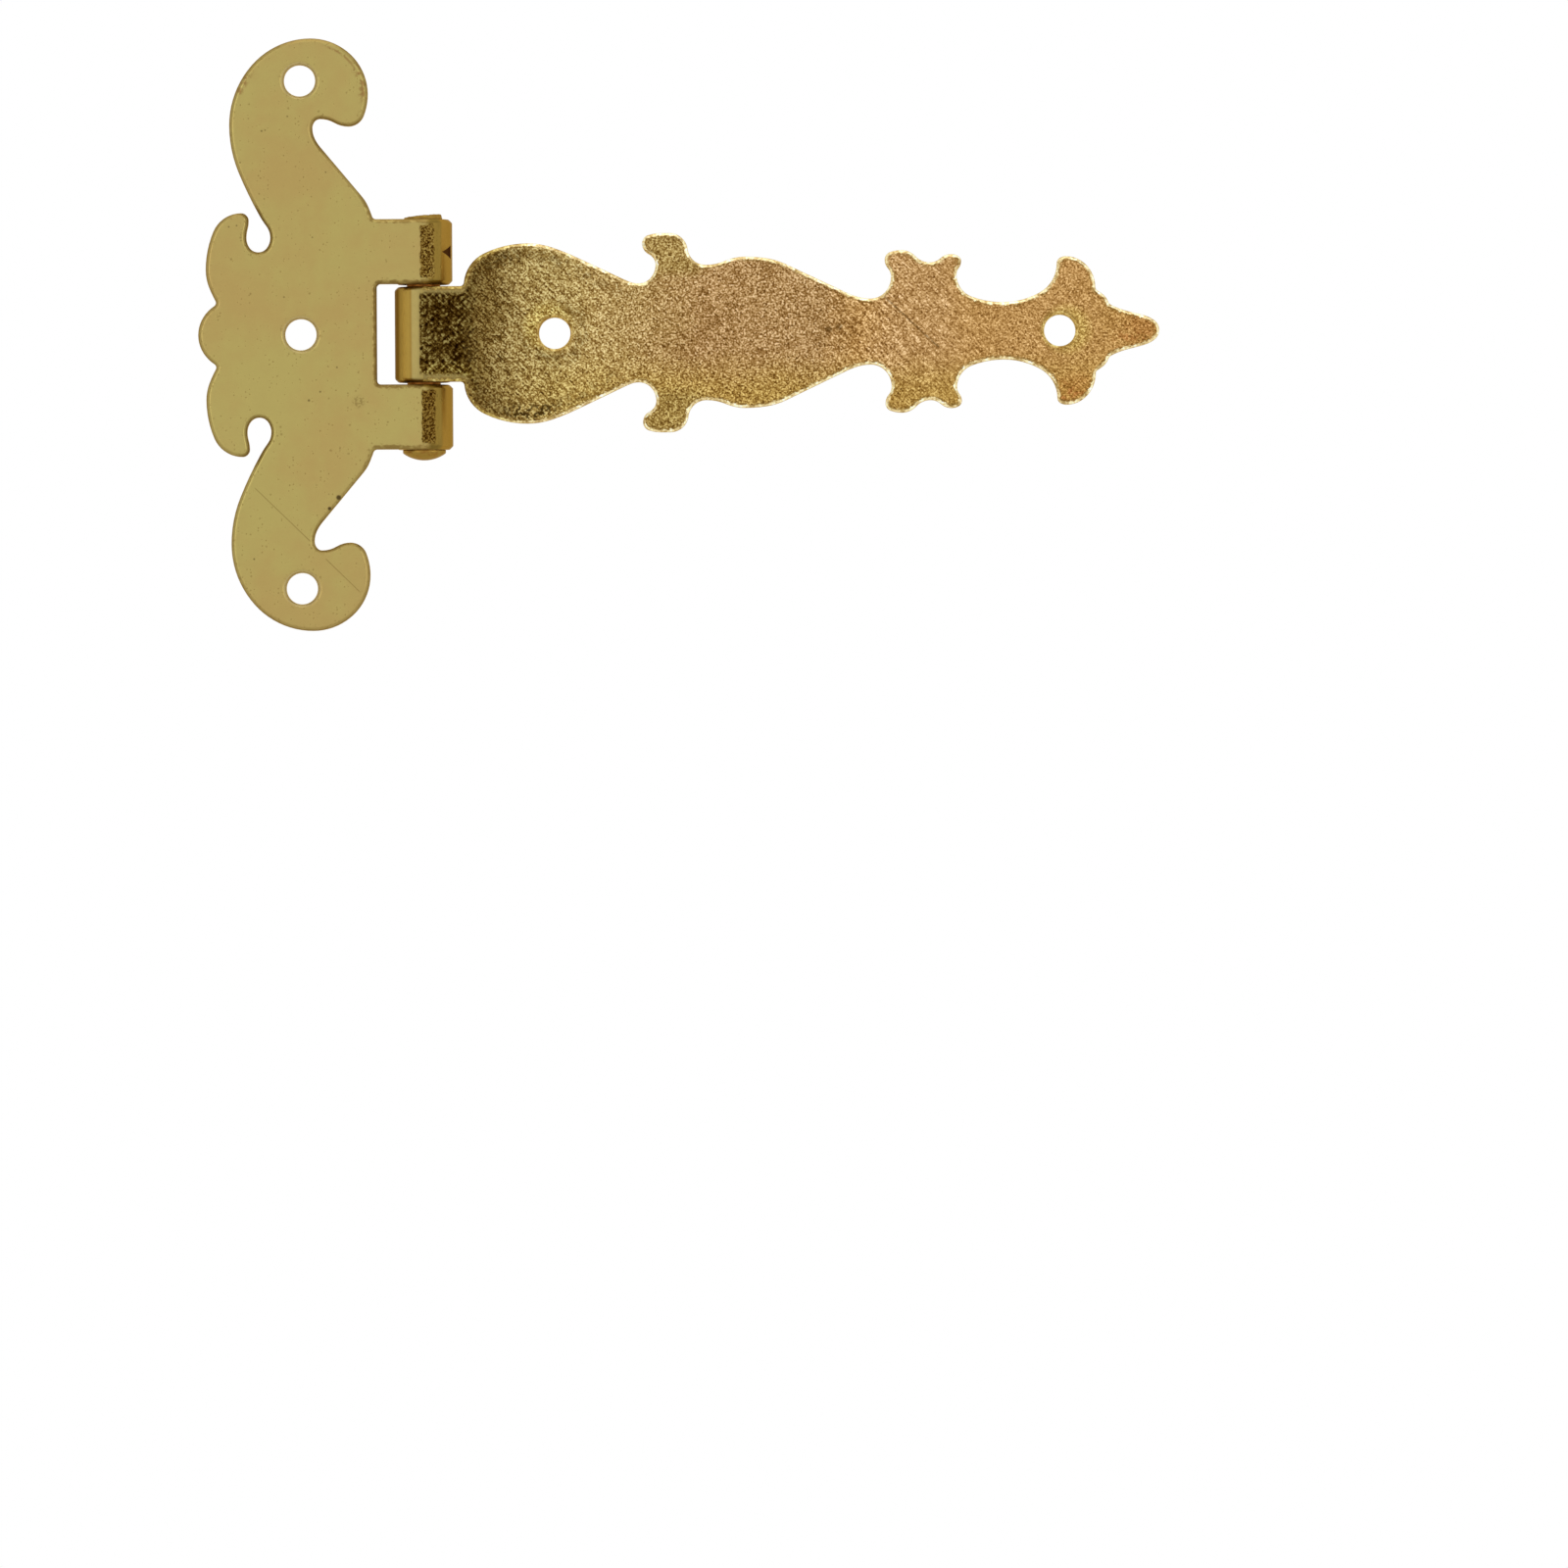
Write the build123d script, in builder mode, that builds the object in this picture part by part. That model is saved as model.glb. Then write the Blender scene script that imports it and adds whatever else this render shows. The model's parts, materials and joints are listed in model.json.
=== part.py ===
from build123d import *
import os
from itertools import pairwise
from math import acos, degrees, sqrt

# Tee hinge of stamped sheet: a scrolled plate leaf and a fretted strap leaf on a riveted pin.
# X runs along the strap to its tip, Z along the pin, and Y = 0 is the flush face of both leaves,
# which seats on the wood. The origin is the plate's middle screw hole in that face.

# Sheet, edges and screw holes
sheet = 1.5
edge_break = 0.45
root_round = 0.5
hole_d = 4.0

# Pin and knuckles
pin_d = 4.3
pin_clearance = 0.05
seam_gap = 0.25
plate_knuckle = 8.3
strap_knuckle = 12.2
knuckle_gap = 0.3
head_d = 5.5
head_rim = 0.45
head_dome = 0.9
peen_d = 4.9
peen_height = 0.5
peen_bevel = 0.25

# Nick knocked into the upper plate knuckle, placed from its outer end and round its roll
nick_inset = 4.2
nick_roll = 58
nick_length = 1.9
nick_height = 1.7
nick_depth = 0.3

# Plate leaf: places of its screw holes and of the notch between its knuckles
plate_hole_inset = 15.6
plate_end_inset = 5.4
notch_gap = 2.2
plate_arm_gap = 2.6

# Plate leaf: nose, ear and eye, measured from the nose and the centre line
plate_reach = 28.7
cusp_depth = 2.45
cusp_z = 3.95
ear_setback = 1.0
ear_back_z = 8.3
ear_run = 4.55
ear_rise = 7.25
ear_nose = 0.95
eye_flare = 0.3
eye_drop = 2.2
eye_half = 1.53
eye_floor = 1.85
shank_run = 1.35
shank_rise = 2.8

# Plate leaf: the scroll and its hook, measured from the scroll's front and top
plate_height = 75.6
scroll_front = 6.9
scroll_width = 17.7
scroll_crown = 7.3
scroll_front_drop = 7.1
scroll_back_drop = 11.1
hook_run = 2.5
hook_drop = 4.15
hook_lip_run = 3.6
hook_lip_rise = 0.98
hook_nose_run = 1.0
hook_nose_drop = 1.18
hook_turn_run = 1.0
hook_turn_drop = 2.4
arm_turn_run = 1.4
arm_turn_rise = 2.9

# Strap leaf: places of its screw holes
strap_hole_inset = 16.8
tip_hole_inset = 12.7

# Strap leaf: root swell and neck, as runs along the strap and half widths
shoulder_gap = 1.5
swell_run = 8.1
swell_half = 11.5
swell_turn_run = 6.2
swell_turn_drop = 1.75
swell_flank = 5.7
neck_turn_run = 2.3
neck_turn_rise = 0.75
neck_half = 6.3

# Strap leaf: thorn behind the neck
thorn_throat_run = 2.2
thorn_throat_rise = 2.37
thorn_undercut = 1.7
thorn_height = 6.4
thorn_nose = 1.3
thorn_nose_run = 2.3
thorn_crest = 1.2
thorn_back_run = 4.6
thorn_back_drop = 4.08

# Strap leaf: belly and waist
belly_run = 5.0
belly_half = 9.65
belly_turn_run = 5.2
belly_turn_drop = 0.97
belly_flank = 7.7
waist_turn_run = 3.1
waist_turn_rise = 0.8
waist_half = 4.2

# Strap leaf: pair of wings behind the waist, and the stem
wing_throat_run = 2.65
wing_throat_rise = 2.8
wing_undercut = 0.8
wing_height = 6.17
wing_nose = 1.22
wing_nose_run = 2.1
saddle_run = 3.65
saddle_drop = 1.59
hind_wing_run = 2.7
hind_wing_rise = 1.04
hind_wing_nose = 0.92
hind_wing_nose_run = 1.3
hind_wing_undercut = 0.6
hind_wing_drop = 1.73
stem_run = 5.95
stem_half = 3.65

# Strap leaf: barb, step and point
barb_run = 6.85
barb_height = 5.82
barb_nose = 0.87
barb_nose_run = 1.15
barb_back_run = 3.75
barb_back_drop = 3.97
step_run = 0.55
step_drop = 0.62
step_edge_run = 1.05
step_edge_drop = 1.18
step_foot_run = 0.85
step_foot_drop = 0.7
point_run = 3.7
point_half = 1.9
tip_run = 1.98

# Slopes of an outline in degrees, and how far off a line a straight run may end
cusp_in_angle = 28
cusp_out_angle = 120
shank_angle = 119
arm_angle = 290
step_angle = -30
step_edge_angle = -70
step_foot_angle = -24
point_angle = -15
line_off = 0.01

# Directions of an outline, knuckles, and the planes that the leaves and the pin are drawn on
AHEAD = Vector(1, 0)
UP = Vector(0, 1)
BACK = -AHEAD
DOWN = -UP
bore_r = pin_d / 2 + pin_clearance
knuckle_r = bore_r + sheet
roll_start = -90
roll_wrap = 360 - degrees(acos((bore_r - seam_gap) / knuckle_r))
strap_knuckle_z = strap_knuckle / 2
plate_knuckle_z = strap_knuckle_z + knuckle_gap
barrel_z = plate_knuckle_z + plate_knuckle
pin_x = plate_hole_inset
seat = Plane(origin=(pin_x, 0, 0), x_dir=(1, 0, 0), z_dir=(0, -1, 0))
barrel = Plane(origin=(pin_x, knuckle_r, 0))


def edge(*stations):
    """Join stations (x, z, direction) by straight runs, or by pairs of arcs in those directions."""
    for (start_x, start_z, away), (end_x, end_z, home) in pairwise(stations):
        start = Vector(start_x, start_z)
        end = Vector(end_x, end_z)
        chord = end - start
        if max(chord.cross(away).length, chord.cross(home).length) < line_off:
            Line(start, end)
            continue
        along = chord.dot(away + home)
        spread = 2 * (1 - away.dot(home))
        handle = chord.dot(chord) / (along + sqrt(along**2 + spread * chord.dot(chord)))
        meeting = (start + away * handle + end - home * handle) / 2
        TangentArc(start, meeting, tangent=away)
        TangentArc(end, meeting, tangent=-home)


def slope(angle):
    """Direction at an angle in degrees from the strap's line."""
    return AHEAD.rotate(Axis.Z, angle)


def straight(start, end):
    """Direction of the straight run from one point (x, z) to another."""
    return (Vector(*end) - Vector(*start)).normalized()


def inner_corners(face, *corners):
    """Vertices of a leaf's outline at these corners (x, z), and at their mirror images below."""
    mirrored = [(x, -z) for x, z in corners]
    return [face.vertices().sort_by_distance(Vector(x, z))[0] for x, z in [*corners, *mirrored]]


def knuckle_section(sweep):
    """Section of a knuckle about the pin axis, rolled from the flush face through an angle."""
    with BuildSketch() as section:
        with BuildLine():
            outer = CenterArc((0, 0), knuckle_r, roll_start, sweep)
            inner = CenterArc((0, 0), bore_r, roll_start, sweep)
            Line(outer @ 0, inner @ 0)
            Line(outer @ 1, inner @ 1)
        make_face()
    return section.sketch


def break_seat_edges(leaf):
    """Break the edges of a leaf's flush face, and those of its knuckles that follow on from them."""
    seat_edges = leaf.faces().filter_by(Axis.Y).sort_by(Axis.Y)[0].edges()
    rims = [rim for rim in seat_edges if abs(rim.center().X - pin_x) > edge_break]
    chamfer(rims, edge_break)


# Stations of the plate's upper half outline, from the nose round to the knuckle arm
nose = (-plate_reach, 0, UP)
cusp_x = -plate_reach + cusp_depth
ear_x = -plate_reach + ear_setback
ear_back = (ear_x, ear_back_z, UP)
ear_crown_x = ear_x + ear_run
ear_crown_z = ear_back_z + ear_rise
ear_crown = (ear_crown_x, ear_crown_z, AHEAD)
ear_front_x = ear_crown_x + ear_nose
ear_front_z = ear_crown_z - ear_nose
ear_front = (ear_front_x, ear_front_z, DOWN)
eye_x = ear_front_x - eye_flare
eye_z = ear_front_z - eye_drop
eye_back = (eye_x, eye_z, DOWN)
eye_bottom = (eye_x + eye_half, eye_z - eye_floor, AHEAD)
eye_front_x = eye_x + 2 * eye_half
eye_front = (eye_front_x, eye_z, UP)
shank = (eye_front_x - shank_run, eye_z + shank_rise, slope(shank_angle))
scroll_top_z = plate_height / 2
scroll_back = (-scroll_front - scroll_width, scroll_top_z - scroll_back_drop, UP)
scroll_top = (-scroll_front - scroll_crown, scroll_top_z, AHEAD)
front_z = scroll_top_z - scroll_front_drop
front = (-scroll_front, front_z, DOWN)
hook_x = -scroll_front - hook_run
hook_z = front_z - hook_drop
hook = (hook_x, hook_z, BACK)
lip_x = hook_x - hook_lip_run
lip_z = hook_z + hook_lip_rise
hook_lip = (lip_x, lip_z, BACK)
hook_tip_x = lip_x - hook_nose_run
hook_tip_z = lip_z - hook_nose_drop
hook_tip = (hook_tip_x, hook_tip_z, DOWN)
plate_arm_x = -knuckle_r - plate_arm_gap
flank_top = (hook_tip_x + hook_turn_run, hook_tip_z - hook_turn_drop)
flank_foot = (plate_arm_x - arm_turn_run, barrel_z + arm_turn_rise)
flank = straight(flank_top, flank_foot)
plate_arm = (plate_arm_x, barrel_z, slope(arm_angle))
notch_x = -knuckle_r - notch_gap

# Plane against the upper plate knuckle where it is nicked
nick_out = seat.z_dir.rotate(Axis.Z, nick_roll)
nick_along = seat.x_dir.rotate(Axis.Z, nick_roll)
nick_spot = barrel.offset(barrel_z - nick_inset).origin + nick_out * knuckle_r
nick_plane = Plane(origin=nick_spot, x_dir=nick_along, z_dir=nick_out)

# Plate leaf: flat blank, two knuckles rolled away from the flush face, three screw holes
with BuildPart() as plate_leaf:
    with BuildSketch(seat):
        with BuildLine() as plate_line:
            edge(nose, (cusp_x, cusp_z, slope(cusp_in_angle)))
            edge((cusp_x, cusp_z, slope(cusp_out_angle)), ear_back, ear_crown, ear_front)
            edge(ear_front, eye_back, eye_bottom, eye_front, shank, scroll_back)
            edge(scroll_back, scroll_top, front, hook, hook_lip, hook_tip)
            edge(hook_tip, (*flank_top, flank), (*flank_foot, flank), plate_arm)
            Polyline(
                (plate_arm_x, barrel_z),
                (0, barrel_z),
                (0, plate_knuckle_z),
                (notch_x, plate_knuckle_z),
                (notch_x, 0),
            )
            mirror(plate_line.line, about=Plane.XZ)
        plate_face = make_face()
        plate_corners = [(cusp_x, cusp_z), (plate_arm_x, barrel_z), (notch_x, plate_knuckle_z)]
        fillet(inner_corners(plate_face, *plate_corners), root_round)
        plate_hole_z = scroll_top_z - plate_end_inset
        with Locations(*[(-plate_hole_inset, z) for z in (-plate_hole_z, 0, plate_hole_z)]):
            Circle(hole_d / 2, mode=Mode.SUBTRACT)
    extrude(amount=-sheet)
    for knuckle_z in (plate_knuckle_z, -barrel_z):
        with BuildSketch(barrel.offset(knuckle_z)):
            add(knuckle_section(roll_wrap))
        extrude(amount=plate_knuckle)
    break_seat_edges(plate_leaf)
    with BuildSketch(nick_plane):
        with BuildLine():
            Polyline(
                (-nick_length / 2, 0),
                (nick_length / 2, -nick_height / 2),
                (nick_length / 2, nick_height / 2),
                close=True,
            )
        make_face()
    extrude(amount=-nick_depth, mode=Mode.SUBTRACT)
plate_leaf.part.label = "plate_leaf"

# Stations of the strap's upper half outline, from the shoulder out to the tip
shoulder_x = knuckle_r + shoulder_gap
shoulder = (shoulder_x, strap_knuckle_z, UP)
swell_x = shoulder_x + swell_run
swell = (swell_x, swell_half, AHEAD)
swell_turn = (swell_x + swell_turn_run, swell_half - swell_turn_drop)
neck_turn = (swell_x + swell_turn_run + swell_flank, neck_half + neck_turn_rise)
swell_fall = straight(swell_turn, neck_turn)
neck_x = neck_turn[0] + neck_turn_run
neck = (neck_x, neck_half, AHEAD)

thorn_x = neck_x + thorn_throat_run
thorn_throat = (thorn_x, neck_half + thorn_throat_rise, UP)
thorn_crown_z = neck_half + thorn_height
thorn_tip_x = thorn_x - thorn_undercut
thorn_tip = (thorn_tip_x, thorn_crown_z - thorn_nose, UP)
thorn_crown_x = thorn_tip_x + thorn_nose_run
thorn_crown = (thorn_crown_x, thorn_crown_z, AHEAD)
thorn_end_x = thorn_crown_x + thorn_crest
thorn_end = (thorn_end_x, thorn_crown_z, AHEAD)
dip_x = thorn_end_x + thorn_back_run
dip = (dip_x, thorn_crown_z - thorn_back_drop, AHEAD)

belly_x = dip_x + belly_run
belly = (belly_x, belly_half, AHEAD)
belly_turn = (belly_x + belly_turn_run, belly_half - belly_turn_drop)
waist_turn = (belly_x + belly_turn_run + belly_flank, waist_half + waist_turn_rise)
belly_fall = straight(belly_turn, waist_turn)
waist_x = waist_turn[0] + waist_turn_run
waist = (waist_x, waist_half, AHEAD)

wing_x = waist_x + wing_throat_run
wing_throat = (wing_x, waist_half + wing_throat_rise, UP)
wing_crown_z = waist_half + wing_height
wing_tip_x = wing_x - wing_undercut
wing_tip = (wing_tip_x, wing_crown_z - wing_nose, UP)
wing_crown_x = wing_tip_x + wing_nose_run
wing_crown = (wing_crown_x, wing_crown_z, AHEAD)
saddle_x = wing_crown_x + saddle_run
saddle_z = wing_crown_z - saddle_drop
saddle = (saddle_x, saddle_z, AHEAD)
hind_x = saddle_x + hind_wing_run
hind_z = saddle_z + hind_wing_rise
hind_crown = (hind_x, hind_z, AHEAD)
hind_tip_x = hind_x + hind_wing_nose_run
hind_tip_z = hind_z - hind_wing_nose
hind_tip = (hind_tip_x, hind_tip_z, DOWN)
hind_throat_x = hind_tip_x - hind_wing_undercut
hind_throat = (hind_throat_x, hind_tip_z - hind_wing_drop, DOWN)
stem_x = hind_throat_x + stem_run
stem = (stem_x, stem_half, AHEAD)

barb_x = stem_x + barb_run
barb_crown_z = stem_half + barb_height
barb_tip = (barb_x, barb_crown_z - barb_nose, UP)
barb_crown_x = barb_x + barb_nose_run
barb_crown = (barb_crown_x, barb_crown_z, AHEAD)
barb_back_x = barb_crown_x + barb_back_run
barb_back_z = barb_crown_z - barb_back_drop
barb_back = (barb_back_x, barb_back_z, DOWN)
step_x = barb_back_x + step_run
step_z = barb_back_z - step_drop
step = (step_x, step_z, slope(step_angle))
step_edge_x = step_x + step_edge_run
step_edge_z = step_z - step_edge_drop
step_edge = (step_edge_x, step_edge_z, slope(step_edge_angle))
step_foot_x = step_edge_x + step_foot_run
step_foot = (step_foot_x, step_edge_z - step_foot_drop, slope(step_foot_angle))
point_x = step_foot_x + point_run
point = (point_x, point_half, slope(point_angle))
tip_x = point_x + tip_run
tip = (tip_x, 0, DOWN)

# Strap leaf: flat blank, one knuckle between those of the plate, two screw holes
with BuildPart() as strap_leaf:
    with BuildSketch(seat):
        with BuildLine() as strap_line:
            Polyline((0, 0), (0, strap_knuckle_z), (shoulder_x, strap_knuckle_z))
            edge(shoulder, swell, (*swell_turn, swell_fall), (*neck_turn, swell_fall), neck)
            edge(neck, thorn_throat, thorn_tip, thorn_crown, thorn_end, dip, belly)
            edge(belly, (*belly_turn, belly_fall), (*waist_turn, belly_fall), waist)
            edge(waist, wing_throat, wing_tip, wing_crown, saddle, hind_crown)
            edge(hind_crown, hind_tip, hind_throat, stem)
            edge(stem, barb_tip, barb_crown, barb_back, step, step_edge, step_foot, point, tip)
            mirror(strap_line.line, about=Plane.XZ)
        strap_face = make_face()
        fillet(inner_corners(strap_face, (shoulder_x, strap_knuckle_z)), root_round)
        with Locations((strap_hole_inset, 0), (tip_x - tip_hole_inset, 0)):
            Circle(hole_d / 2, mode=Mode.SUBTRACT)
    extrude(amount=-sheet)
    with BuildSketch(barrel.offset(-strap_knuckle_z)):
        add(knuckle_section(-roll_wrap))
    extrude(amount=strap_knuckle)
    break_seat_edges(strap_leaf)
strap_leaf.part.label = "strap_leaf"

# Hinge pin: shank with a domed head below and a peened head above, turned about the pin axis
with BuildPart() as hinge_pin:
    with BuildSketch(seat.offset(-knuckle_r)):
        with BuildLine():
            rim_z = -barrel_z - head_rim
            dome = TangentArc((0, rim_z - head_dome), (head_d / 2, rim_z), tangent=(1, 0))
            peen_z = barrel_z + peen_height
            Polyline(
                dome @ 1,
                (head_d / 2, -barrel_z),
                (pin_d / 2, -barrel_z),
                (pin_d / 2, barrel_z),
                (peen_d / 2, barrel_z),
                (peen_d / 2, peen_z - peen_bevel),
                (peen_d / 2 - peen_bevel, peen_z),
                (0, peen_z),
                dome @ 0,
            )
        make_face()
    revolve(axis=Axis(barrel.origin, barrel.z_dir))
hinge_pin.part.label = "hinge_pin"

os.makedirs("parts", exist_ok=True)
for piece in (plate_leaf, strap_leaf, hinge_pin):
    export_step(piece.part, f"parts/{piece.part.label}.step")
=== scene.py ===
import json
from functools import reduce
from math import hypot, radians, tau

import bmesh
import bpy
from bpy.props import FloatProperty, FloatVectorProperty, IntProperty, PointerProperty
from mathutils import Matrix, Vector
from mathutils.kdtree import KDTree


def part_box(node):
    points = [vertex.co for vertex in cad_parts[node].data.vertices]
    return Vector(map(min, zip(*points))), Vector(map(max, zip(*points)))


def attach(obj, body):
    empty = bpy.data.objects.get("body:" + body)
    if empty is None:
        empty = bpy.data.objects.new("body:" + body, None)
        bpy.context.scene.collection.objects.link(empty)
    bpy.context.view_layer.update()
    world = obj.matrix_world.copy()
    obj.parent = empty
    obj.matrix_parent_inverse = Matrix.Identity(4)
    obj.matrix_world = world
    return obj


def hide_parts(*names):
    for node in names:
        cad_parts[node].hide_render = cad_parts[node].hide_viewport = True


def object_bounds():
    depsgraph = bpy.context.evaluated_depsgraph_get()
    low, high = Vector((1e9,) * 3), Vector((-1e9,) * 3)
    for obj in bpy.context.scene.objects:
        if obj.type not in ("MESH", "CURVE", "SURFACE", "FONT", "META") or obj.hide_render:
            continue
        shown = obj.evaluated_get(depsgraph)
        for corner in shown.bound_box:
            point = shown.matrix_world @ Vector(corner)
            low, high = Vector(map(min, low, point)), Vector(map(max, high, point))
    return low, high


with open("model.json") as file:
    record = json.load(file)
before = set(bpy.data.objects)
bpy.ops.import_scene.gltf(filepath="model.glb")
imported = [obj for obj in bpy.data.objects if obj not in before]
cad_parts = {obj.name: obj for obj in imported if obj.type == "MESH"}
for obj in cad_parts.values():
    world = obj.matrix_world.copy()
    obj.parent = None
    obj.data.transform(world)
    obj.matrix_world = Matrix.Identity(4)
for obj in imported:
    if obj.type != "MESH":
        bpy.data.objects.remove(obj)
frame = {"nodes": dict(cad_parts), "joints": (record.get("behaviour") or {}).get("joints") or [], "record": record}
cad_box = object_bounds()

bl_info = {
    "name": "Ornamental Tee Hinge",
    "version": (1, 0, 0),
    "blender": (4, 5, 0),
    "location": "3D View > Sidebar > Tee Hinge",
    "description": "Gives a packed tee hinge its plated finish, its worn edges and its studio",
    "category": "Object",
}

# Places shared by the pieces, in metres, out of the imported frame
MM = 0.001
PIN_X, PIN_Y = frame["joints"][0]["pos_m"][:2]
KNUCKLE_RADIUS = PIN_Y
SCREWS = {
    mount["name"]: mount for mount in frame["record"]["mounts"] if mount["kind"] == "bolt_pattern"
}
BARREL_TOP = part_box("hinge_pin")[1].z
BARREL_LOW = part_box("hinge_pin")[0].z

# The side of the pin that each leaf's knuckle rolls round, seen from its own sheet
PLATE_SIDE = 1
STRAP_SIDE = -1

# Small allowances for finding faces and joining points, in metres
MERGE_REACH = 0.001 * MM
SKIN_SLACK = 0.015 * MM
ROLL_SLACK = 0.02 * MM
RIM_STEP = 0.2 * MM

# The hammered head: rings cut into its flat end, and how deep the head reaches
PEEN_RINGS = 3
PEEN_RING_WIDTH = 0.45 * MM
PEEN_END_SLACK = 0.02 * MM
PEEN_HEAD_DEPTH = 0.12 * MM

# How far the painted highlight on a screw hole's broken edge reaches past the hole, and its soft edge, in
# millimetres
HOLE_HIGHLIGHT_REACH = 0.7
HOLE_HIGHLIGHT_SOFT = 0.1

# Marks on the plate in millimetres: lines from point to point, spots as middle, radius, soft edge
PLATE_SCRATCHES = (((-6.1, -19.4), (1.2, -26.5)), ((2.9, -28.5), (7.5, -33.0)))
PLATE_SMUDGE = ((7.3, -8.6), 0.75, 0.35)
PLATE_STAIN_PATCH = ((-7.1, 32.0), 1.8, 0.9)
PLATE_UPPER_SCROLL = (1.45, 30.65)
PLATE_NICK_DROP = 4.7
PLATE_FLANK_SPECKS = (((4.72, -20.8), 0.3, 0.12), ((3.55, -22.2), 0.22, 0.1))
PLATE_SPECK_SOFT = 0.07
PLATE_SPECKS = (
    ((-4.85, 26.0), 0.12),
    ((-4.4, 26.1), 0.09),
    ((-1.55, 27.85), 0.1),
    ((-7.6, 22.0), 0.09),
    ((-9.1, 13.8), 0.1),
    ((-8.1, 13.95), 0.1),
    ((1.55, 12.4), 0.09),
    ((3.3, 20.7), 0.09),
    ((-2.1, 4.8), 0.1),
    ((4.6, -4.2), 0.11),
    ((2.45, -7.3), 0.12),
    ((1.0, -8.4), 0.15),
    ((-6.1, -28.6), 0.12),
)

# Marks on the strap, written in the same way
STRAP_SCORCHES = (((99.2, -8.2), 2.6, 1.4), ((107.4, 0.9), 1.8, 1.0))
STRAP_DULL_PATCHES = (((50.5, -0.5), 4.5, 3.5), ((69.3, 0.0), 4.0, 3.0))
STRAP_LOWER_SOOT = ((29.0, -9.8), 3.4, 1.2)
STRAP_UPPER_SOOT = ((25.6, 8.6), 2.6, 1.2)
STRAP_SCORE = ((74.3, 4.6), (81.5, -2.2))
STRAP_SPOTS = (((67.4, 0.3), 0.35, 0.2), ((68.7, 0.6), 0.4, 0.2))
STRAP_ARM_DARK_PATCHES = (((18.3, 2.4), 2.4, 1.4), ((20.8, -2.0), 2.2, 1.2))


def shown(red, green, blue):
    """Scene colour of a finish that a display shows with these three bytes."""
    parts = (red / 255, green / 255, blue / 255)
    return tuple(
        part / 12.92 if part <= 0.04045 else ((part + 0.055) / 1.055) ** 2.4 for part in parts
    )


def length(name, description, metres):
    return FloatProperty(
        name=name, description=description, default=metres, min=0, precision=5, unit="LENGTH"
    )


def place(name, description, metres):
    return FloatProperty(name=name, description=description, default=metres, unit="LENGTH")


def turn(name, description, degrees):
    return FloatProperty(
        name=name, description=description, default=radians(degrees), subtype="ANGLE"
    )


def power(name, description, watts):
    return FloatProperty(name=name, description=description, default=watts, unit="POWER")


def optic(name, description, millimetres):
    return FloatProperty(name=name, description=description, default=millimetres, unit="CAMERA")


def share(name, description, default):
    return FloatProperty(
        name=name, description=description, default=default, min=0, max=4, subtype="FACTOR"
    )


def tone(name, description, *parts):
    return FloatVectorProperty(
        name=name,
        description=description,
        default=shown(*parts),
        min=0,
        max=1,
        size=3,
        subtype="COLOR",
    )


class HingeShape(bpy.types.PropertyGroup):
    """Sizes of the visual pieces that the solids leave plain."""

    sheet: length("Sheet", "Thickness of the stamped sheet", 1.5 * MM)
    edge_break: length("Broken edge", "Depth of the bevel round the seen faces", 0.45 * MM)
    rim_round: length("Rim round", "Rounding of each corner of that bevel", 0.13 * MM)
    head_round: length("Head round", "Rounding of the pin heads' corners", 0.16 * MM)
    # The edge distance on these points feeds both real wear and the painted highlights and shade of the rims
    wear_grid: length("Wear grid", "Spacing of the points that carry the edge wear", 1.0 * MM)
    wear_reach: length("Wear reach", "How far in from the edge the wear is followed", 3.0 * MM)
    peen_lean: turn("Peen lean", "Lean of the hammered head", 5)
    peen_dents: length("Peen dents", "Depth of the hammer marks in the head", 0.07 * MM)
    peen_seed: IntProperty(
        name="Peen seed", description="Picks one set of hammer marks", default=4
    )


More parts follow.
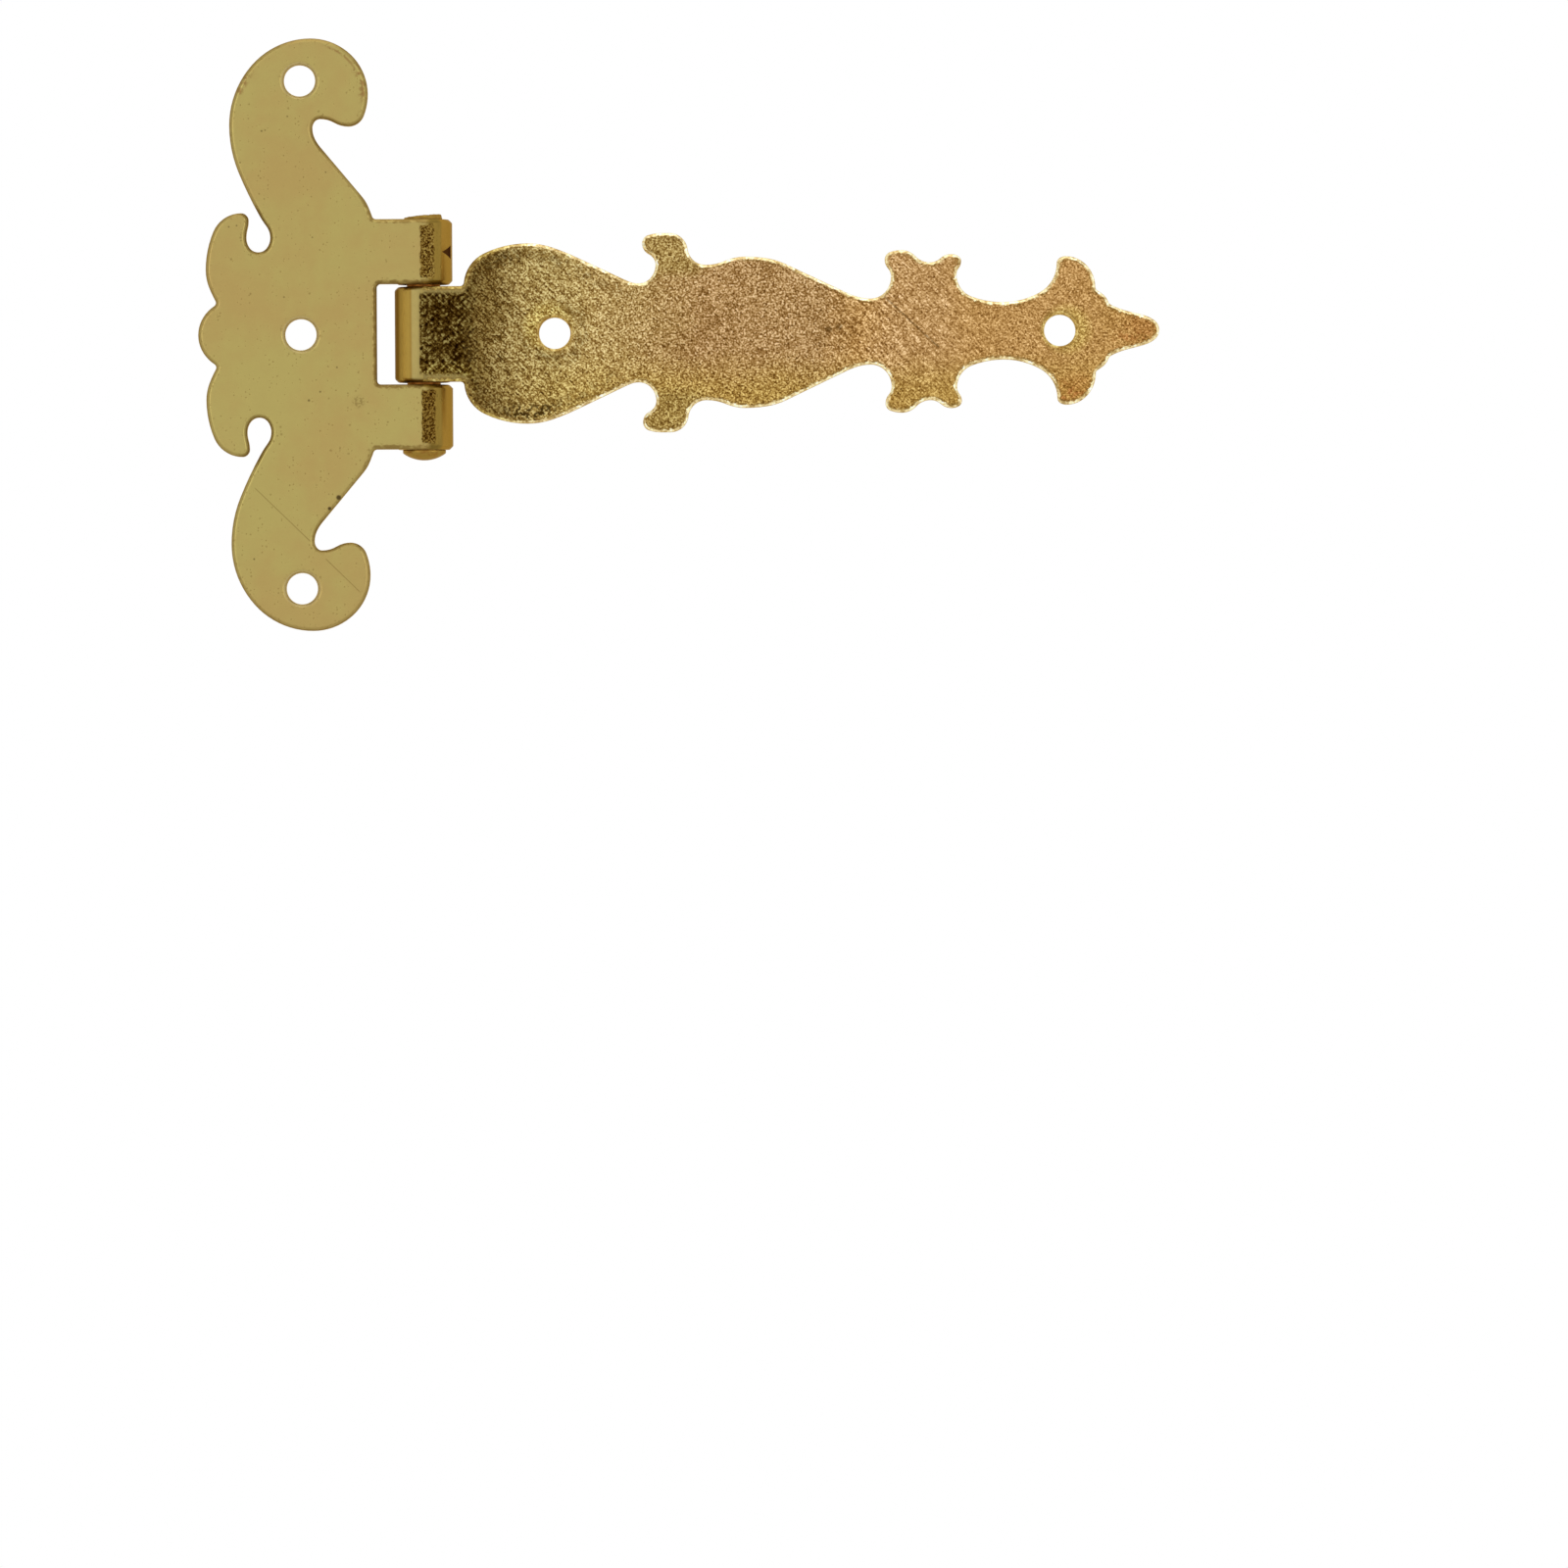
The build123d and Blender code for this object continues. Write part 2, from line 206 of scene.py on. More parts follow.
class HingeFinish(bpy.types.PropertyGroup):
    """Colours of the plating where it is clean, worn, crazed or stained, and its painted highlights, painted
    reflections and painted shade.
    """

    plate_gold: tone("Plate gold", "Clean satin plating of the plate", 173, 154, 91)
    plate_straw: tone("Plate straw", "Paler drift in the plate's plating", 174, 160, 94)
    plate_rose: tone("Plate rose", "Warmer drift in the plate's plating", 174, 148, 89)
    plate_pit: tone("Plate pits", "Pits, dust and scratches in the plate", 112, 88, 44)
    plate_speck: tone("Plate specks", "Small dark specks on the plate", 66, 50, 26)
    # Brown flecks along the edge, and the painted shade of the plate's broken edge
    plate_edge_rust_and_shade: tone("Plate edge", "Thin dark line at the plate's cut edge", 130, 106, 55)
    # Painted highlight on the broken edge of the plate's holes
    plate_lip_highlight: tone("Plate lips", "Bright broken edge of the plate's holes", 206, 189, 136)
    plate_rust: tone("Plate stain", "Red-brown stain on the upper scroll's rim", 132, 88, 50)
    craze_brown: tone("Craze brown", "Grain of the plate's crazed bends", 110, 83, 31)
    # Painted shade inside the knuckle's nick
    nick_shade: tone("Nick brown", "Bruised metal in the knuckle's nick", 62, 32, 16)
    # Knuckle tones that paint reflection bands: pale is a painted highlight, olive, line and brown are painted
    # shade, amber is a painted reflection; gold is the plating
    roll_olive_shade: tone("Roll olive", "Knuckle next to its bend", 123, 100, 43)
    roll_amber_reflection: tone("Roll amber", "Knuckle near its outer edge", 148, 114, 46)
    roll_pale_highlight: tone("Roll pale", "Bright line along the strap's knuckle", 156, 139, 83)
    roll_gold: tone("Roll gold", "Clean part of the strap's knuckle", 177, 146, 68)
    roll_shade_line: tone("Roll line", "Thin dark line beside that bright one", 140, 112, 52)
    roll_turn_shade: tone("Roll brown", "Strap's knuckle where it turns under", 104, 71, 17)
    arm_brown: tone("Arm brown", "Dark grain of the strap's arm", 82, 61, 21)
    arm_gold: tone("Arm gold", "Thinner grain along the arm's lower side", 98, 75, 27)
    strap_root: tone("Strap root", "Grainy plating beside the arm", 113, 88, 40)
    strap_olive: tone("Strap olive", "Grainy plating of the swell", 161, 135, 77)
    strap_beige: tone("Strap beige", "Grainy plating of the belly", 171, 134, 84)
    strap_neck: tone("Strap neck", "Grainy plating of the neck", 175, 147, 87)
    strap_blush: tone("Strap blush", "Paler plating of the wings", 185, 145, 92)
    strap_copper: tone("Strap copper", "Grainy plating towards the point", 184, 142, 84)
    strap_tip: tone("Strap tip", "Grainy plating of the point", 179, 137, 75)
    strap_yellow: tone("Strap yellow", "Yellow tinge along the strap's lower side", 170, 137, 55)
    strap_thorn: tone("Strap thorn", "Olive grain of the thorns", 156, 128, 68)
    strap_ember: tone("Strap ember", "Red-brown patches on the barbs and point", 168, 112, 56)
    strap_smoke: tone("Strap smoke", "Dark spots and scores on the strap", 66, 46, 12)
    # Painted highlights on the strap's rims and hole edges, and the painted shade inside them
    rim_highlight_pale: tone("Rim bright", "Bright rounded rim of the strap", 236, 216, 162)
    rim_highlight_gold: tone("Rim gold", "Plainer rim of the arm and the swell's root", 190, 166, 92)
    lip_highlight_gold: tone("Lip gold", "Broken edge of the strap's holes", 214, 186, 112)
    rim_shade: tone("Rim shade", "Dark line inside that rim", 132, 102, 48)
    # Painted highlight beside the strap's holes
    halo_highlight_gold: tone("Halo gold", "Gold glow beside the strap's holes", 190, 162, 84)
    wall_gold: tone("Wall gold", "Sheared walls of the sheet", 188, 158, 90)
    wall_brown: tone("Wall brown", "Torn half of the sheared walls", 142, 110, 56)
    pin_gold: tone("Pin gold", "Plating of the pin's heads", 149, 120, 53)
    # Brown mottle of the heads, and the painted shade of the shank in the gaps between knuckles
    pin_mottle_and_gap_shade: tone("Pin brown", "Worn shank and the heads' hollows", 132, 78, 30)


class HingeStage(bpy.types.PropertyGroup):
    """Camera, floor and lamps."""

    view_width: length("View width", "Width of what the camera sees at the hinge's face", 0.2)
    view_x: place("View X", "Middle of the view", 0.061315)
    view_z: place("View Z", "Middle of the view", -0.057673)
    view_roll: turn("View roll", "Turn of the camera about its line of sight", 0.33)
    lens: optic("Lens", "Long lens of a copy stand", 300)
    sensor: optic("Sensor", "Width of the sensor", 36)
    floor_z: place("Floor height", "Height of the floor", -0.2)
    floor_radius: length("Floor radius", "Radius of the floor", 0.6)
    floor_tone: tone("Floor", "Pale floor", 247, 246, 244)
    room_level: share("Room light", "Plain light of the room on matt surfaces", 0.9)
    side_power: power("Side lamps", "Each side lamp", 1.5)
    over_power: power("Top lamp", "The lamp above", 1.2)


class Value:
    """A shader socket in arithmetic: each operator adds a Math node to its bench."""

    def __init__(self, bench, socket):
        self.bench = bench
        self.socket = socket

    def part(self, name):
        return Value(self.bench, self.socket.node.outputs[name])

    def __add__(self, other):
        return self.bench.math("ADD", self, other)

    def __radd__(self, other):
        return self.bench.math("ADD", other, self)

    def __sub__(self, other):
        return self.bench.math("SUBTRACT", self, other)

    def __rsub__(self, other):
        return self.bench.math("SUBTRACT", other, self)

    def __mul__(self, other):
        return self.bench.math("MULTIPLY", self, other)

    def __rmul__(self, other):
        return self.bench.math("MULTIPLY", other, self)

    def __truediv__(self, other):
        return self.bench.math("DIVIDE", self, other)

    def __rtruediv__(self, other):
        return self.bench.math("DIVIDE", other, self)

    def __pow__(self, other):
        return self.bench.math("POWER", self, other)

    def __neg__(self):
        return self.bench.math("MULTIPLY", self, -1.0)

    def __abs__(self):
        return self.bench.math("ABSOLUTE", self)

    def rising(self, low, high):
        """0 below low, 1 above high, and a soft step between them."""
        return self.bench.node(
            "ShaderNodeMapRange",
            {"interpolation_type": "SMOOTHSTEP"},
            {"Value": self, "From Min": low, "From Max": high},
        )

    def falling(self, low, high):
        return 1.0 - self.rising(low, high)

    def least(self, other):
        return self.bench.math("MINIMUM", self, other)

    def most(self, other):
        return self.bench.math("MAXIMUM", self, other)


class Bench:
    """The node tree of one finish, or of the room."""

    def __init__(self, owner):
        self.owner = owner
        owner.use_nodes = True
        self.tree = owner.node_tree
        self.tree.nodes.clear()

    def node(self, kind, settings=None, sockets=None, output=0):
        """A node of this kind: its settings first, then its sockets' values or links."""
        made = self.tree.nodes.new(kind)
        for name, setting in (settings or {}).items():
            if name == "stops":
                self.set_stops(made.color_ramp, setting)
            else:
                setattr(made, name, setting)
        for name, value in (sockets or {}).items():
            if isinstance(value, Value):
                self.tree.links.new(value.socket, made.inputs[name])
            elif isinstance(value, (int, float)):
                made.inputs[name].default_value = value
            else:
                made.inputs[name].default_value = self.fitted(made.inputs[name], value)
        return Value(self, made.outputs[output]) if made.outputs else None

    def fitted(self, socket, value):
        """A colour or vector with as many parts as its socket has."""
        value = tuple(value)
        return (*value, 1.0) if socket.type == "RGBA" and len(value) == 3 else value

    def set_stops(self, ramp, stops):
        while len(ramp.elements) < len(stops):
            ramp.elements.new(1.0)
        for element, (position, colour) in zip(ramp.elements, stops):
            element.position = position
            element.color = (*colour, 1.0)

    def math(self, operation, *values):
        return self.node("ShaderNodeMath", {"operation": operation}, dict(enumerate(values)))

    def blend(self, factor, first, second):
        """First colour where the factor is 0, second where it is 1."""
        sockets = {"Factor": factor, 6: first, 7: second}
        return self.node("ShaderNodeMix", {"data_type": "RGBA"}, sockets, output=2)

    def dimmed(self, colour, level):
        """A colour made darker or lighter by a number."""
        sockets = {0: colour, "Scale": level}
        return self.node("ShaderNodeVectorMath", {"operation": "SCALE"}, sockets)

    def flecked(self, colour, level):
        """A colour under its grain: dark flecks turn redder, bright ones paler."""
        tint = self.point(level, level**1.3, level**1.9)
        sockets = {0: colour, 1: tint}
        return self.node("ShaderNodeVectorMath", {"operation": "MULTIPLY"}, sockets)

    def place(self):
        """Point of the piece in millimetres, as a vector and as its three numbers."""
        metres = self.node("ShaderNodeTexCoord", output="Object")
        point = self.dimmed(metres, 1 / MM)
        split = self.node("ShaderNodeSeparateXYZ", sockets={0: point})
        return point, split.part("X"), split.part("Y"), split.part("Z")

    def point(self, x, y, z=0.0):
        return self.node("ShaderNodeCombineXYZ", sockets={0: x, 1: y, 2: z})

    def noise(self, point, per_mm, detail=2.0, roughness=0.5):
        settings = {"noise_dimensions": "3D"}
        sockets = {"Vector": point, "Scale": per_mm, "Detail": detail, "Roughness": roughness}
        return self.node("ShaderNodeTexNoise", settings, sockets)

    def cells(self, point, per_mm):
        """Distance from the middle of the cell that a point lies in, and that cell's chance."""
        settings = {"voronoi_dimensions": "2D"}
        sockets = {"Vector": point, "Scale": per_mm}
        distance = self.node("ShaderNodeTexVoronoi", settings, sockets, output="Distance")
        chance = self.node("ShaderNodeSeparateColor", sockets={0: distance.part("Color")})
        return distance, chance

    def edge_distance(self):
        """Millimetres in from the leaf's broken edge, as its mesh carries them."""
        return self.node("ShaderNodeAttribute", {"attribute_name": "edge_mm"}, output="Fac")

    def metal(self, colour, roughness, height, depth):
        """Finishes the bench with a metal: its colour, its roughness and its relief."""
        relief = self.node(
            "ShaderNodeBump", sockets={"Strength": 1.0, "Distance": depth, "Height": height}
        )
        surface = self.node(
            "ShaderNodeBsdfPrincipled",
            sockets={
                "Base Color": colour,
                "Roughness": roughness,
                "Normal": relief,
                "Metallic": 1.0,
                "Specular Tint": (0.85, 0.7, 0.5),
            },
        )
        self.node("ShaderNodeOutputMaterial", sockets={"Surface": surface})
        return self.owner


def skin_depth(x, y, side, shape):
    """Millimetres under the leaf's seen skin, its knuckle's share, and the angle round the pin."""
    sheet = shape.sheet / MM
    across = x - PIN_X / MM
    behind = y - PIN_Y / MM
    radius = (across * across + behind * behind) ** 0.5
    rolled = (across * side).rising(-0.01, 0.01).most(y.rising(sheet + 0.02, sheet + 0.08))
    depth = rolled * (KNUCKLE_RADIUS / MM - radius) + (1.0 - rolled) * y
    angle = x.bench.math("ARCTAN2", across * side, -behind)
    return depth, rolled, angle


def leaf_sides(depth, shape):
    """Where a leaf shows its seen side, and where its sheared walls, by its depth."""
    sheet = shape.sheet / MM
    broken = shape.edge_break / MM
    front = depth.falling(broken + 0.05, broken + 0.25)
    walls = depth.rising(broken - 0.03, broken + 0.05) * depth.falling(sheet - 0.12, sheet - 0.05)
    return front, walls


def sheared_wall(bench, place_mm, depth, finish, shape):
    """Colour of the cut walls: burnished next to the seen face, torn towards the back."""
    x, y, z = place_mm
    sheet = shape.sheet / MM
    streaks = bench.noise(bench.point(x * 4.0, y * 0.5, z * 4.0), 1.0, 3.0, 0.6)
    torn = (depth + (streaks - 0.5) * 0.5).rising(0.6 * sheet, 0.72 * sheet)
    wall = bench.blend(torn, finish.wall_gold, finish.wall_brown)
    return bench.dimmed(wall, 0.7 + 0.6 * streaks)


def line_mask(x, z, start, end, width, soft):
    """1 on a straight scratch between two points, in millimetres."""
    tapered = 0.4
    reach = hypot(end[0] - start[0], end[1] - start[1])
    along = ((end[0] - start[0]) / reach, (end[1] - start[1]) / reach)
    east = x - start[0]
    north = z - start[1]
    across = abs(east * along[1] - north * along[0])
    forward = east * along[0] + north * along[1]
    inside = forward.rising(0.0, tapered) * forward.falling(reach - tapered, reach)
    return across.falling(width, width + soft) * inside


def spot_mask(x, z, middle, radius, soft):
    """1 inside a round spot, in millimetres."""
    east = x - middle[0]
    north = z - middle[1]
    return ((east * east + north * north) ** 0.5).falling(radius - soft, radius + soft)


def spots_mask(x, z, spots):
    """1 inside any of several round spots."""
    return reduce(Value.most, (spot_mask(x, z, *spot) for spot in spots))


def pit_mask(bench, x, z, clusters, rate, rarity, largest, soft):
    """1 in round pits, one to a cell at most, and only inside their clusters."""
    middle, chance = bench.cells(bench.point(x, z), rate)
    size = chance.rising(rarity, 1.0) * largest * clusters
    pit = (middle / rate).falling(0.3 * size, size + soft)
    return pit * size.rising(0.01, soft - 0.01)


def scaled(colour, factor):
    return tuple(part * factor for part in colour)


def roll_reflection_ramp(bench, angle, stops):
    """Painted reflection bands round a knuckle, by degrees from its bend: a half turn back to a half turn on."""
    ordered = [((degrees + 180) / 360, colour) for degrees, colour in stops]
    return bench.node("ShaderNodeValToRGB", {"stops": ordered}, {0: angle / tau + 0.5})


def plate_finish(finish, shape):
    """Even satin gold with pits and crazed bends, a thin line of painted shade at its edge, painted highlights
    round its holes and painted reflection bands on its knuckles.
    """
    bench = Bench(bpy.data.materials.new("plate_satin_gold"))
    point, x, y, z = bench.place()
    depth, rolled, angle = skin_depth(x, y, PLATE_SIDE, shape)
    front, walls = leaf_sides(depth, shape)
    edge = bench.edge_distance()

    # Slow drift between two golds, under faint clouds and grain
    drift = bench.noise(point, 0.07, 3.0, 0.55)
    clouds = bench.noise(point, 0.5, 3.0, 0.6)
    grain = bench.noise(point, 3.2, 2.0, 0.6)
    straw = (drift + 0.25 * (clouds - 0.5)).rising(0.34, 0.66)
    face = bench.blend(straw, finish.plate_rose, finish.plate_straw)
    face = bench.blend(0.3, face, finish.plate_gold)
    face = bench.dimmed(face, 0.955 + 0.05 * grain + 0.04 * clouds)

    # Pits lie thinly, with finer dust between them, both in clusters
    clusters = clouds.rising(0.43, 0.62)
    pits = pit_mask(bench, x, z, clusters, rate=0.8, rarity=0.4, largest=0.2, soft=0.05)
    clusters = clouds.rising(0.46, 0.6)
    dust = pit_mask(bench, x, z, clusters, rate=2.0, rarity=0.55, largest=0.13, soft=0.04)
    pits = pits.most(dust * 1.2)
    face = bench.blend(pits * 0.45, face, finish.plate_pit)

    # Scratch across the lower scroll, a smudge beside the barrel, and dark specks
    scratches = (line_mask(x, z, *ends, width=0.02, soft=0.08) for ends in PLATE_SCRATCHES)
    scratch = reduce(Value.most, scratches)
    face = bench.blend(front * scratch * (0.25 + 0.5 * clouds), face, finish.plate_pit)
    smudge = spot_mask(x, z, *PLATE_SMUDGE) * grain.rising(0.42, 0.6)
    face = bench.blend(front * smudge * 0.55, face, finish.plate_pit)
    specks = spots_mask(x, z, PLATE_FLANK_SPECKS)
    for middle, radius in PLATE_SPECKS:
        specks = specks.most(spot_mask(x, z, middle, radius, PLATE_SPECK_SOFT) * 0.7)

    # Red-brown stain round the upper scroll's outer rim: flecks, a thin trail and a patch
    east = x - PLATE_UPPER_SCROLL[0]
    north = z - PLATE_UPPER_SCROLL[1]
    around = bench.math("ARCTAN2", north, east)
    outer = ((east * east + north * north) ** 0.5).rising(5.4, 5.9)
    blots = bench.noise(point, 1.3, 3.0, 0.6)
    fleck_arc = around.rising(-0.25, 0.0) * around.falling(0.5, 0.75)
    stain = edge.falling(0.15, 1.0) * fleck_arc * outer * blots.rising(0.46, 0.58)
    trail_arc = around.rising(0.3, 0.5) * around.falling(1.1, 1.4)
    trail = edge.rising(0.1, 0.2) * edge.falling(0.3, 0.5) * trail_arc
    stain = stain.most(trail * outer * blots.rising(0.36, 0.5) * 0.8)
    patch = spot_mask(x, z, *PLATE_STAIN_PATCH) * edge.falling(0.1, 0.7)
    stain = stain.most(patch * blots.rising(0.44, 0.56))
    face = bench.blend(front * stain * 0.65, face, finish.plate_rust)

    # Edges: brown flecks just inside, thicker beside the barrel
    rust = bench.noise(point, 2.2, 2.0, 0.6).rising(0.58, 0.68)
    flecks = edge.falling(0.05, 0.5) * rust * 0.5
    barrelward = x.rising(7.0, 8.5) * abs(z).falling(20.0, 22.0)
    seam = (edge + 0.6 * (blots - 0.5)).falling(-0.04, 0.08)
    flecks = flecks.most(barrelward * seam * 0.8)
    face = bench.blend(front * flecks, face, finish.plate_edge_rust_and_shade)

    # Painted shade as a thin dark line on the broken edge, and a painted highlight as a bright lip round each hole
    mount = SCREWS["plate_screws"]["dims"]
    ring = mount["hole_r_mm"] + HOLE_HIGHLIGHT_REACH
    end_hole = (0.0, mount["spacing_y_mm"] / 2)
    lips = spot_mask(x, abs(z), end_hole, ring, HOLE_HIGHLIGHT_SOFT)
    lips = lips.most(spot_mask(x, z, (0.0, 0.0), ring, HOLE_HIGHLIGHT_SOFT))
    fray = bench.noise(point, 1.6, 3.0, 0.6)
    cut = (depth + 0.25 * (fray - 0.5)).rising(0.2, 0.34)
    line = (0.35 * depth.rising(0.02, 0.12)).most(cut * 0.85)
    line = line * (1.0 - 0.8 * lips) * (0.45 + 1.1 * fray).least(1.0)
    face = bench.blend(front * line, face, finish.plate_edge_rust_and_shade)
    face = bench.blend(front * lips * depth.rising(0.03, 0.12) * 0.55, face, finish.plate_lip_highlight)
    face = bench.blend(front * specks * 0.9, face, finish.plate_speck)

    # Rolled knuckles with painted reflection bands, and painted shade in the nick of the upper one
    roll = roll_reflection_ramp(
        bench,
        angle,
        (
            (-180, finish.roll_gold),
            (-40, finish.roll_gold),
            # Scaled copies of olive and amber are painted shade (below 1) and painted highlight (above 1)
            (17, scaled(finish.roll_olive_shade, 0.86)),
            (30, scaled(finish.roll_olive_shade, 0.9)),
            (37, scaled(finish.roll_olive_shade, 1.15)),
            (43, scaled(finish.roll_amber_reflection, 1.12)),
            (52, scaled(finish.roll_amber_reflection, 1.12)),
            (75, finish.roll_amber_reflection),
            (100, finish.roll_olive_shade),
            (180, finish.roll_gold),
        ),
    )
    roll = bench.dimmed(roll, 0.92 + 0.16 * clouds)
    colour = bench.blend(rolled * abs(angle).rising(0.02, 0.3), face, roll)
    # Painted shade inside the nick, darker than its recess would shade by itself
    nick_z = BARREL_TOP / MM - PLATE_NICK_DROP
    nick = rolled * depth.rising(0.01, 0.06) * abs(z - nick_z).falling(1.2, 1.4)
    nick = nick * angle.rising(0.5, 0.6) * angle.falling(1.5, 1.6)
    colour = bench.blend(nick, colour, finish.nick_shade)

    # Crazed strip along each bend, darker on the lower knuckle
    lower = z.falling(-1.0, 1.0)
    chips = bench.cells(bench.point(x, z), 5.5)[1]
    crackle = 0.75 * bench.noise(point, 4.2, 2.0, 0.65) + 0.25 * chips
    ragged = (bench.noise(point, 1.1, 2.0, 0.5) - 0.5) * 0.6
    across = x - PIN_X / MM + ragged - 0.1 * lower
    craze = across.rising(-0.42, -0.18) * across.falling(1.25, 1.6)
    craze = craze * (edge + ragged).rising(0.05, 0.4) * y.falling(1.0, 1.2)
    flakes = ((2.0 * crackle) ** 4.0).least(2.0) * (0.7 + 0.6 * clouds) * (1.0 - 0.2 * lower)
    colour = bench.blend(craze, colour, bench.flecked(finish.craze_brown, flakes))

    wall = sheared_wall(bench, (x, y, z), depth, finish, shape)
    colour = bench.blend(walls, colour, wall)
    roughness = 0.3 + 0.1 * clouds + 0.2 * craze + 0.12 * walls
    height = 0.25 * grain + 0.8 * craze * crackle - 0.8 * pits - 0.6 * scratch
    return bench.metal(colour, roughness, height, 0.02 * MM)


def strap_finish(finish, shape):
    """Grainy gold that runs from a dark arm to a coppery point, with painted highlights on its rims and painted
    reflection bands on its knuckle.
    """
    bench = Bench(bpy.data.materials.new("strap_grain_gold"))
    point, x, y, z = bench.place()
    depth, rolled, angle = skin_depth(x, y, STRAP_SIDE, shape)
    front, walls = leaf_sides(depth, shape)
    edge = bench.edge_distance()
    out = x - PIN_X / MM

    clouds = bench.noise(point, 0.22, 3.0, 0.55)
    blotch = bench.noise(point, 0.9, 3.0, 0.6)
    mottle = bench.noise(point, 0.42, 3.0, 0.6)
    grain = bench.noise(point, 4.3, 2.0, 0.6)
    chips = bench.cells(bench.point(x, z), 4.6)[1]
    hatch = bench.noise(bench.point((x - z) * 0.4, (x + z) * 2.8), 1.0, 1.0, 0.5)
    strokes = bench.noise(bench.point((x - z) * 0.11, (x + z) * 1.1), 1.0, 3.0, 0.6)

    # Tarnish along the strap, by millimetres out from the pin
    tip = (cad_box[1][0] - PIN_X) / MM
    along = out + 6.0 * (clouds - 0.5) + 2.0 * (blotch - 0.5)
    tones = (
        (0.0, finish.strap_root),
        (8.0, finish.strap_root),
        (13.0, finish.strap_olive),
        (16.5, finish.strap_olive),
        (20.5, finish.strap_neck),
        (36.0, finish.strap_beige),
        (51.0, finish.strap_beige),
        (55.5, finish.strap_copper),
        (60.0, finish.strap_blush),
        (66.0, finish.strap_blush),
        (71.0, finish.strap_copper),
        (83.0, finish.strap_copper),
        (90.0, finish.strap_tip),
    )
    stops = [(at / tip, colour) for at, colour in tones]
    face = bench.node("ShaderNodeValToRGB", {"stops": stops}, {0: along / tip})
    lower = (z + 3.0 * (clouds - 0.5)).falling(-8.5, -1.5) * x.rising(20.0, 45.0)
    face = bench.blend(lower * 0.6, face, finish.strap_yellow)
    thorns = abs(z).rising(6.4, 8.4) * out.rising(25.0, 27.0) * out.falling(34.0, 37.0)
    face = bench.blend(thorns * 0.8, face, finish.strap_thorn)

    # Red-brown patches on the barbs and the point, more of them below
    embers = abs(z).rising(5.5, 7.5).most(out.rising(87.0, 90.0)) * out.rising(76.0, 80.0)
    embers = embers * blotch.rising(0.42, 0.58) * (0.1 + 0.85 * z.falling(-2.0, 2.0))
    scorch = spots_mask(x, z, STRAP_SCORCHES) * (0.2 + 0.6 * blotch)
    face = bench.blend(embers.most(scorch), face, finish.strap_ember)

    # Grain with slanting strokes, clearest on the swell and the wings
    brushed = x.falling(34.0, 44.0).most(x.rising(66.0, 71.0) * x.falling(84.0, 92.0))
    hatched = 0.14 + 0.16 * brushed
    texture = (0.84 - hatched) * grain + 0.16 * chips + hatched * hatch
    rooted = 0.6 * x.falling(30.0, 42.0) + 1.6 * x.falling(21.0, 28.0)
    contrast = 3.4 + rooted - 1.0 * x.rising(70.0, 84.0)
    dull = 0.1 * spots_mask(x, z, STRAP_DULL_PATCHES)
    shine = 0.95 + 0.4 * (mottle - 0.5) + (0.3 + 0.5 * brushed) * (strokes - 0.5) - dull
    level = ((2.0 * texture) ** contrast * shine).least(2.0)
    face = bench.flecked(face, level)

    # Smoke and soot inside the swell's rim, and dark grains at its root
    smoke = edge.rising(0.1, 0.5) * edge.falling(1.0, 2.6) * x.falling(36.0, 46.0)
    smoke = smoke * (blotch + 0.4 * (grain - 0.5)).rising(0.46, 0.58) * 0.35
    sooty = spot_mask(x, z, *STRAP_LOWER_SOOT).most(spot_mask(x, z, *STRAP_UPPER_SOOT) * 0.8)
    soot = (0.7 * bench.noise(point, 2.1, 2.0, 0.6) + 0.3 * blotch).rising(0.48, 0.54)
    soot = sooty * soot * edge.rising(0.05, 0.25) * edge.falling(1.2, 2.4)
    cinders = (0.5 * grain + 0.5 * hatch).falling(0.4, 0.47) * x.falling(23.0, 31.0)
    smoke = smoke.most(soot).most(cinders * 0.8)
    face = bench.blend(front * smoke, face, finish.strap_smoke)

    # Scratch beside the wings and small brown spots before the waist
    waver = 0.5 * (blotch - 0.5)
    scored = line_mask(x + waver, z, *STRAP_SCORE, width=0.04, soft=0.14)
    scored = scored * grain.rising(0.35, 0.6)
    spots = spots_mask(x, z, STRAP_SPOTS) * grain.rising(0.3, 0.6)
    marks = (scored * 0.7).most(spots * 0.6)
    face = bench.blend(front * marks, face, finish.strap_smoke)

    # Painted highlight beside the screw holes
    mount = SCREWS["strap_screws"]
    hole = mount["dims"]["hole_r_mm"]
    spread = mount["dims"]["spacing_x_mm"] / 2
    root_hole = mount["pos_m"][0] / MM - spread
    tip_hole = mount["pos_m"][0] / MM + spread
    glow = 0.9
    halo = spot_mask(x, z, (root_hole - glow, 0.9), hole + glow, glow)
    halo = halo.most(spot_mask(x, z, (tip_hole + glow, 0.1), hole + glow, glow))
    face = bench.blend(front * halo * 0.6, face, bench.flecked(finish.halo_highlight_gold, level))

    # Dark crazed arm, darkest in two patches and golden on its lower side, with a painted highlight along its
    # edges
    wrinkles = bench.noise(bench.point((x + z) * 0.55, (x - z) * 1.5), 1.0, 2.0, 0.6)
    crackle = 0.46 * bench.noise(point, 2.4, 3.0, 0.65) + 0.06 * chips
    crackle = crackle + 0.2 * hatch + 0.28 * wrinkles
    ragged = (bench.noise(point, 1.0, 2.0, 0.5) - 0.5) * 1.2
    arm_start = (out + 0.3 * ragged).rising(-0.58, -0.34)
    arm_end = (out + 3.0 * (blotch - 0.5) + ragged).falling(5.0, 7.8)
    arm = arm_start * arm_end * (edge + 0.5 * ragged).rising(0.15, 0.7) * y.falling(1.0, 1.3)
